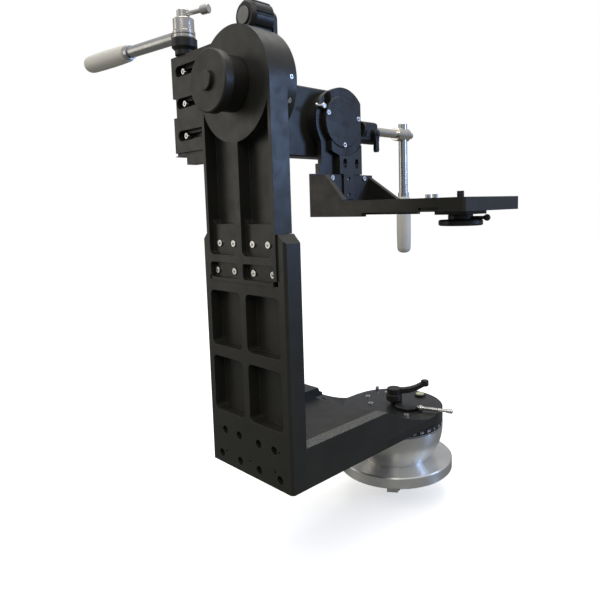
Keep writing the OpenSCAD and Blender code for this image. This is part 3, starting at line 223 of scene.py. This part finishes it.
finishes = {
    # bead-blasted, black anodised plate with rubbed edges
    "anodisedPlate": {"dark": (0.0155, 0.0152, 0.0118), "light": (0.0222, 0.0216, 0.0172), "rough": 0.42,
                      "grain": 2600, "bump": 0.22, "depth": 0.06, "wear": 0.4,
                      "dustAmount": 0.22, "dustColour": (0.045, 0.043, 0.039), "edge": 0.6},
    # the arm: the same, with its long top edge scuffed grey
    "anodisedArm": {"dark": (0.0165, 0.0160, 0.0125), "light": (0.0245, 0.0237, 0.0185), "rough": 0.43,
                    "grain": 2600, "bump": 0.22, "depth": 0.06, "wear": 0.4,
                    "dustAmount": 0.3, "dustColour": (0.05, 0.048, 0.043), "edge": 0.6,
                    "wornBand": ((1, 0, 1), 0.2114, (0.30, 0.285, 0.24))},
    "anodisedTurned": {"dark": (0.011, 0.011, 0.011), "light": (0.018, 0.018, 0.0175), "rough": 0.33,
                       "bump": 0.08, "wear": 0.45, "rings": ((0, 0, 0), "Z", 0.9), "ringBump": 0.12},
    "anodisedTiltTurned": {"dark": (0.014, 0.0135, 0.012), "light": (0.021, 0.020, 0.018), "rough": 0.36,
                           "bump": 0.1, "wear": 0.4, "rings": ((0, 0, 0.5505), "Y", 0.9), "ringBump": 0.14},
    "anodisedRollTurned": {"dark": (0.012, 0.012, 0.0112), "light": (0.018, 0.018, 0.017), "rough": 0.3,
                           "bump": 0.1, "wear": 0.4, "rings": ((0, 0, 0.545), "X", 0.8), "ringBump": 0.07},
    "turnedSilver": {"metallic": 0.9, "dark": (0.76, 0.755, 0.735), "light": (0.86, 0.855, 0.835), "rough": 0.33,
                     "turned": 0.85, "bump": 0.03, "rings": ((0, 0, 0), "Z", 0.7), "ringBump": 0.2,
                     "dustAmount": 0.04, "dustColour": (0.55, 0.54, 0.52)},
    "satinTube": {"metallic": 0.95, "dark": (0.48, 0.48, 0.485), "light": (0.57, 0.57, 0.575), "rough": 0.3,
                  "bump": 0.01, "edge": 0, "dustAmount": 0.03},
    "nickel": {"metallic": 1, "dark": (0.66, 0.64, 0.60), "light": (0.77, 0.75, 0.71), "rough": 0.24,
               "bump": 0.005, "edge": 0, "dustAmount": 0.03},
    "zincScrew": {"metallic": 1, "dark": (0.66, 0.65, 0.63), "light": (0.84, 0.83, 0.81), "rough": 0.3,
                  "mottle": 180, "bump": 0.06, "edge": 0.25, "dustAmount": 0.1, "dustColour": (0.4, 0.39, 0.37)},
    "blackScrew": {"metallic": 0.6, "dark": (0.02, 0.02, 0.0195), "light": (0.040, 0.039, 0.037), "rough": 0.36,
                   "mottle": 140, "bump": 0.08, "edge": 0.25},
    "groundSteel": {"metallic": 1, "dark": (0.36, 0.36, 0.37), "light": (0.5, 0.5, 0.5), "rough": 0.3,
                    "bump": 0.05, "edge": 0.3},
    "frictionPlate": {"dark": (0.10, 0.06, 0.035), "light": (0.16, 0.10, 0.06), "rough": 0.8, "bump": 0.4},
    "mouldedBlack": {"dark": (0.010, 0.010, 0.0095), "light": (0.017, 0.0168, 0.016), "rough": 0.4,
                     "grain": 1500, "bump": 0.16, "edge": 0.7, "specular": 0.45,
                     "dustAmount": 0.2, "dustColour": (0.04, 0.039, 0.037)},
    "knobRim": {"dark": (0.019, 0.018, 0.0155), "light": (0.027, 0.0255, 0.022), "rough": 0.46,
                "grain": 1500, "wear": 0.3, "specular": 0.45, "rings": ((0, 0, 0.5505), "Y", 1.1)},
    "greyCap": {"dark": (0.20, 0.20, 0.195), "light": (0.27, 0.27, 0.262), "rough": 0.5, "mottle": 90,
                "grain": 1200, "dustAmount": 0.2, "dustColour": (0.14, 0.14, 0.135)},
    "creamGrip": {"dark": (0.76, 0.73, 0.665), "light": (0.84, 0.81, 0.745), "rough": 0.42, "mottle": 30,
                  "grain": 420, "depth": 0.12, "edge": 1.2, "soft": 0.08,
                  "dustAmount": 0.15, "dustColour": (0.55, 0.52, 0.46), "dust": 320},
    "levelFluid": {"dark": (0.62, 0.66, 0.30), "light": (0.78, 0.78, 0.45), "rough": 0.12, "coat": 1.0,
                   "coatRough": 0.03, "bump": 0.02},
}
finish = {name: makeFinish(name, recipe) for name, recipe in finishes.items()}
print("finishes:", len(finish))

nodeFinish = {
    "turnedSilver": ["base_flange", "base_bowl"],
    "groundSteel": ["pan_shaft", "tilt_shaft", "roll_shaft", "pan_bearing", "tilt_bearing", "tie_down_stud"],
    "frictionPlate": ["pan_drag_plate"],
    "anodisedTurned": ["pan_scale_ring", "pan_drum", "level_bezel", "pan_drag_knob"],
    "anodisedArm": ["horizontal_arm"],
    "anodisedPlate": ["arm_step_block", "lower_column_plate", "upper_column_plate", "tilt_plate",
                      "tilt_beam", "lug_bracket", "height_rail", "bracket_back", "bracket_gusset_near",
                      "bracket_gusset_far", "bracket_base", "camera_platform", "platform_clamp"],
    "anodisedTiltTurned": ["tilt_hub"],
    "anodisedRollTurned": ["roll_housing", "roll_plate", "roll_cover", "arch_plate"],
    "knobRim": ["tilt_drag_knob"],
    "mouldedBlack": ["tie_down_nut", "pan_lock_hub", "pan_lock_lever", "lug_knob", "camera_screw", "left_base",
                     "right_clamp", "right_clamp_lever"],
    "zincScrew": ["frame_screws", "slot_screws", "cover_screws", "bracket_screws", "anti_twist_key"],
    "blackScrew": ["foot_screws", "flange_screws", "saddle_screws", "rail_screws"],
    "nickel": ["pan_drag_lever", "left_lever", "left_head", "right_rod", "roll_lock_lever"],
    "satinTube": ["left_tube", "right_tube"],
    "creamGrip": ["left_grip", "right_grip"],
    "levelFluid": ["level_vial"],
}
for name, nodes in nodeFinish.items():
    for node in nodes:
        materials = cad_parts[node].data.materials
        materials.clear()
        materials.append(finish[name])
bare = set(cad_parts) - {n for nodes in nodeFinish.values() for n in nodes}
print("nodes without a finish:", sorted(bare))


# one finished mesh, whose object stays at the origin
def meshPiece(name, verts, faces, material, body, smooth=False):
    mesh = bpy.data.meshes.new(name)
    mesh.from_pydata(verts.tolist(), [], faces)
    mesh.validate()
    mesh.materials.append(material)
    if smooth:
        mesh.shade_smooth()
    piece = bpy.data.objects.new(name, mesh)
    scene.collection.objects.link(piece)
    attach(piece, body)


# closed boxes from an array n x 8 x 3: lower four corners, then the upper four
def boxes(corners):
    first = np.arange(len(corners))[:, None, None] * 8
    sides = np.array([(0, 3, 2, 1), (4, 5, 6, 7), (0, 1, 5, 4), (1, 2, 6, 5), (2, 3, 7, 6), (3, 0, 4, 7)])
    return corners.reshape(-1, 3), (first + sides[None]).reshape(-1, 4).tolist()


# a closed turned body: radius[i, j] at turn angle j and height i about the Z axis, with a pole at each end
def turnedBody(radius, height):
    rows, cols = radius.shape
    angle = np.arange(cols) * 2 * np.pi / cols
    ring = np.stack([radius * np.cos(angle), radius * np.sin(angle), height], axis=2).reshape(-1, 3)
    verts = np.concatenate([ring, [[0, 0, height[0].mean()], [0, 0, height[-1].mean()]]])
    i, j = np.meshgrid(np.arange(rows - 1), np.arange(cols), indexing="ij")
    after = (j + 1) % cols
    quads = np.stack([i * cols + j, i * cols + after, (i + 1) * cols + after, (i + 1) * cols + j], axis=2)
    j, after, top = j[0], after[0], (rows - 1) * cols
    lowPole, highPole = np.full(cols, rows * cols), np.full(cols, rows * cols + 1)
    low = np.stack([lowPole, after, j], axis=1)
    high = np.stack([highPole, top + j, top + after], axis=1)
    return verts, quads.reshape(-1, 4).tolist() + low.tolist() + high.tolist()


# Z of a turned body goes to -Y, and the body moves to its centre
def towardFront(verts, centre):
    return np.stack([verts[:, 0], -verts[:, 2], verts[:, 1]], axis=1) + centre


# degree ring: numbers and ticks wrapped round the drum
dial = {
    "radius": 75.0, "proud": 0.12, "bottom": 69.0, "longTick": 3.4, "midTick": 2.6, "shortTick": 1.8,
    "tickWidth": 0.34, "tickFrom": 0.9, "tickRoot": 0.2,
    "typeSize": 4.59, "typeDepth": 0.08, "typeSteps": 3, "typeFrom": 5.0, "stepNumber": 10,
    "paintDark": (0.84, 0.85, 0.86), "paintLight": (0.93, 0.93, 0.94), "paintMottle": 400, "paintRough": 0.55,
}
paint = plainCoat("dialPaint", dial["paintMottle"], 2, dial["paintDark"], dial["paintLight"],
                  dial["paintRough"]).material


# tick i stands at i degrees: a small box between two radii, as tall as its kind
def makeTicks(d):
    degree = np.arange(0, 360)
    kind = np.where(degree % 10 == 0, d["longTick"], np.where(degree % 5 == 0, d["midTick"], d["shortTick"]))
    angle = np.radians(degree)
    half = d["tickWidth"] / 2 / d["radius"]
    r0, r1 = d["radius"] - d["tickRoot"], d["radius"] + d["proud"]
    z0 = np.full_like(angle, d["bottom"] + d["tickFrom"])
    z1 = z0 + kind
    corners = np.stack([np.stack([r * np.cos(angle + a), r * np.sin(angle + a), z], axis=1)
                        for z in (z0, z1) for r, a in ((r0, -half), (r1, -half), (r1, half), (r0, half))], axis=1)
    verts, faces = boxes(corners * mm)
    meshPiece("scale_ticks", verts, faces, paint, "base")


# flat type is set at a tangent and wrapped: x becomes the angle x / radius
def makeDigits(d):
    verts, faces, count = [], [], 0
    for number in range(0, 360, d["stepNumber"]):
        text = bpy.data.curves.new("digits", "FONT")
        text.body, text.size, text.align_x = str(number), d["typeSize"], "CENTER"
        text.extrude, text.resolution_u = d["typeDepth"], d["typeSteps"]
        flat = bpy.data.objects.new("digits", text)
        scene.collection.objects.link(flat)
        mesh = flat.to_mesh()
        points = np.empty(len(mesh.vertices) * 3)
        mesh.vertices.foreach_get("co", points)
        points = points.reshape(-1, 3)
        angle = np.radians(number) + points[:, 0] / d["radius"]
        radius = d["radius"] + d["proud"] * 0.5 + points[:, 2]
        verts.append(np.stack([radius * np.cos(angle), radius * np.sin(angle),
                               d["bottom"] + d["typeFrom"] + points[:, 1]], axis=1))
        faces += [[v + count for v in face.vertices] for face in mesh.polygons]
        count += len(points)
        flat.to_mesh_clear()
        bpy.data.objects.remove(flat)
    meshPiece("scale_digits", np.concatenate(verts) * mm, faces, paint, "base")


makeTicks(dial)
makeDigits(dial)
print("dial marked")

capDisc = {
    "centre": (-20, -254.95, 638.5), "radius": 10.4, "rise": 1.1, "crown": 0.5,
    "shoulderShare": 0.93, "faceShare": 0.9, "cols": 64, "rows": 14,
}


# light cap of the top knob: a short turned button whose side draws in as shoulder + (1 - shoulder)
# * sqrt(1 - share of the rise squared), under a low crown
def makeCap(c):
    along = np.linspace(0, 1, c["rows"])
    side = c["shoulderShare"] + (1 - c["shoulderShare"]) * np.sqrt(1 - along[1:-1] ** 2)
    share = np.concatenate([[1], side, [c["faceShare"]]])
    grid = np.ones((c["rows"], c["cols"]))
    verts, faces = turnedBody(c["radius"] * share[:, None] * grid, c["rise"] * along[:, None] * grid)
    verts[-1, 2] += c["crown"]
    meshPiece("lug_cap", towardFront(verts, np.array(c["centre"])) * mm, faces, finish["greyCap"],
              "lug")


makeCap(capDisc)
print("cap set")

rimScrews = {
    "tiltAxis": (0, -257.2, 550.5), "rimRadius": 64.6, "degrees": (2, -21), "sunk": 0.3,
    "radius": 2.85, "length": 3.3, "chamfer": 0.35, "socket": 1.45, "socketDepth": 1.4, "cols": 36,
}


# set screws in the tilt plate's rim: a profile up the side, over the chamfer and down the socket,
# turned about Z; then Z goes to the rim's radial direction (cos a, 0, sin a)
def makeRimScrews(r):
    path = np.array([(r["radius"], 0), (r["radius"], r["length"] - r["chamfer"]),
                     (r["radius"] - r["chamfer"], r["length"]), (r["socket"], r["length"]),
                     (r["socket"], r["length"] - r["socketDepth"])])
    grid = np.ones((len(path), r["cols"]))
    verts, faces = turnedBody(path[:, :1] * grid, path[:, 1:] * grid)
    for number, a in enumerate(np.radians(r["degrees"])):
        axes = np.array([(0, 1, 0), (-np.sin(a), 0, np.cos(a)), (np.cos(a), 0, np.sin(a))])
        foot = np.array(r["tiltAxis"]) + axes[2] * (r["rimRadius"] - r["sunk"] - r["length"])
        meshPiece(f"rim_screw_{number}", (verts @ axes + foot) * mm, faces, finish["zincScrew"], "tilt")


makeRimScrews(rimScrews)
print("rim screws set")

# a shank is let 0.05 mm into the rod of the solids; rows are counted for each turn
threads = {
    "stud_thread": {"centre": (0, 0, 0), "shank": 7.95, "depth": 0.45, "pitch": 2.0, "low": -45.0, "high": -32.2,
                    "finish": "groundSteel", "body": "base", "slot": "steel"},
    "camera_thread": {"centre": (119, 0, 0), "shank": 4.67, "depth": 0.3, "pitch": 1.59, "low": 418.2,
                      "high": 426.2, "finish": "blackScrew", "body": "camera_knob", "slot": "black_plastic"},
}
threadGrid = {"cols": 48, "rows": 8, "fadeShare": 0.25}


# thread: radius = shank + depth * triangle(z / pitch - angle / 2 pi) * fade, where fade runs from 0 to 1
# over a share of the length at each end
def makeThread(name, t, grid):
    long = t["high"] - t["low"]
    turn = np.arange(grid["cols"])[None, :] / grid["cols"]
    z = np.linspace(t["low"], t["high"], int(long / t["pitch"] * grid["rows"]))[:, None]
    ridge = 1 - np.abs(2 * ((z / t["pitch"] - turn) % 1) - 1)
    fade = np.clip(np.minimum(z - t["low"], t["high"] - z) / (grid["fadeShare"] * long), 0, 1)
    verts, faces = turnedBody(t["shank"] + t["depth"] * ridge * fade, z * np.ones_like(turn))
    meshPiece(name, (verts + np.array(t["centre"])) * mm, faces, finish[t["finish"]], t["body"],
              smooth=True)


for name, thread in threads.items():
    makeThread(name, thread, threadGrid)
print("threads cut")

stageSetup = {
    "floorSize": 12.0, "floorDrop": 0.002, "floor": (0.9, 0.9, 0.9), "cloud": (0.891, 0.891, 0.891),
    "cloudScale": 3, "floorRough": 0.9, "glow": 0.55,
    "below": (0.17, 0.17, 0.16), "level": (0.24, 0.25, 0.28), "above": (0.66, 0.66, 0.65),
    "belowStop": 0.35, "levelStop": 0.55, "aboveStop": 0.9,
}
lamps = {
    "keySoft": {"place": (1.0, -1.9, 2.3), "target": (0, -0.1, 0.4), "size": 1.5, "watts": 17,
                "colour": (1.0, 0.97, 0.91)},
    "windowCool": {"place": (1.98, 1.2, 0.82), "target": (0, -0.2, 0.45), "size": 0.7, "watts": 17,
                   "colour": (0.36, 0.56, 1.0)},
    "fillLeft": {"place": (-1.9, -2.0, 0.7), "target": (0, -0.2, 0.35), "size": 1.6, "watts": 7,
                 "colour": (1.0, 0.94, 0.80)},
    "topWash": {"place": (-0.2, 0.2, 2.6), "target": (0, 0, 0.3), "size": 2.2, "watts": 27,
                "colour": (1.0, 0.99, 0.96)},
}


# a disc lamp, whose -Z looks from its place to its target
def makeLamp(name, lamp):
    data = bpy.data.lights.new(name, "AREA")
    data.shape, data.size, data.energy, data.color = "DISK", lamp["size"], lamp["watts"], lamp["colour"]
    holder = bpy.data.objects.new(name, data)
    look = (Vector(lamp["target"]) - Vector(lamp["place"])).to_track_quat("-Z", "Y")
    holder.matrix_world = Matrix.Translation(lamp["place"]) @ look.to_matrix().to_4x4()
    scene.collection.objects.link(holder)


# white room as a backdrop, and a dimmer one, brighter overhead, for light and reflections:
# its ramp is read at (upward part of the direction + 1) / 2
def makeRoom(setup):
    world = bpy.data.worlds.new("studio")
    scene.world = world
    world.use_nodes = True
    tree = world.node_tree
    room = tree.nodes["Background"]
    place = tree.nodes.new("ShaderNodeTexCoord")
    split = tree.nodes.new("ShaderNodeSeparateXYZ")
    ramp = tree.nodes.new("ShaderNodeValToRGB")
    lift = tree.nodes.new("ShaderNodeMapRange")
    lift.inputs[1].default_value, lift.inputs[2].default_value = -1, 1
    stops = ramp.color_ramp.elements
    stops[0].position, stops[0].color = setup["belowStop"], (*setup["below"], 1)
    stops[1].position, stops[1].color = setup["aboveStop"], (*setup["above"], 1)
    stops.new(setup["levelStop"]).color = (*setup["level"], 1)
    backdrop = tree.nodes.new("ShaderNodeBackground")
    backdrop.inputs[0].default_value = (1, 1, 1, 1)
    path = tree.nodes.new("ShaderNodeLightPath")
    choose = tree.nodes.new("ShaderNodeMixShader")
    for source, target in ((place.outputs["Generated"], split.inputs[0]), (split.outputs[2], lift.inputs[0]),
                           (lift.outputs[0], ramp.inputs[0]), (ramp.outputs[0], room.inputs[0]),
                           (path.outputs["Is Camera Ray"], choose.inputs[0]), (room.outputs[0], choose.inputs[1]),
                           (backdrop.outputs[0], choose.inputs[2]),
                           (choose.outputs[0], tree.nodes["World Output"].inputs[0])):
        tree.links.new(source, target)


# pale floor just under the head's lowest point, the room and the lamps
def makeStage(setup):
    half, level = setup["floorSize"] / 2, cadBox[0][2] - setup["floorDrop"]
    mesh = bpy.data.meshes.new("floor")
    mesh.from_pydata([(-half, -half, level), (half, -half, level), (half, half, level), (-half, half, level)],
                     [], [(0, 1, 2, 3)])
    floor = bpy.data.objects.new("floor", mesh)
    scene.collection.objects.link(floor)
    g = plainCoat("paleFloor", setup["cloudScale"], 3, setup["cloud"], setup["floor"], setup["floorRough"])
    g.shader.inputs["Emission Color"].default_value = (1, 1, 1, 1)
    g.shader.inputs["Emission Strength"].default_value = setup["glow"]
    mesh.materials.append(g.material)
    floor.visible_diffuse = floor.visible_glossy = False   # the room below lights the head's undersides
    makeRoom(setup)
    for name, lamp in lamps.items():
        makeLamp(name, lamp)


makeStage(stageSetup)
scene.view_settings.view_transform = "Standard"
print("stage and lamps set")
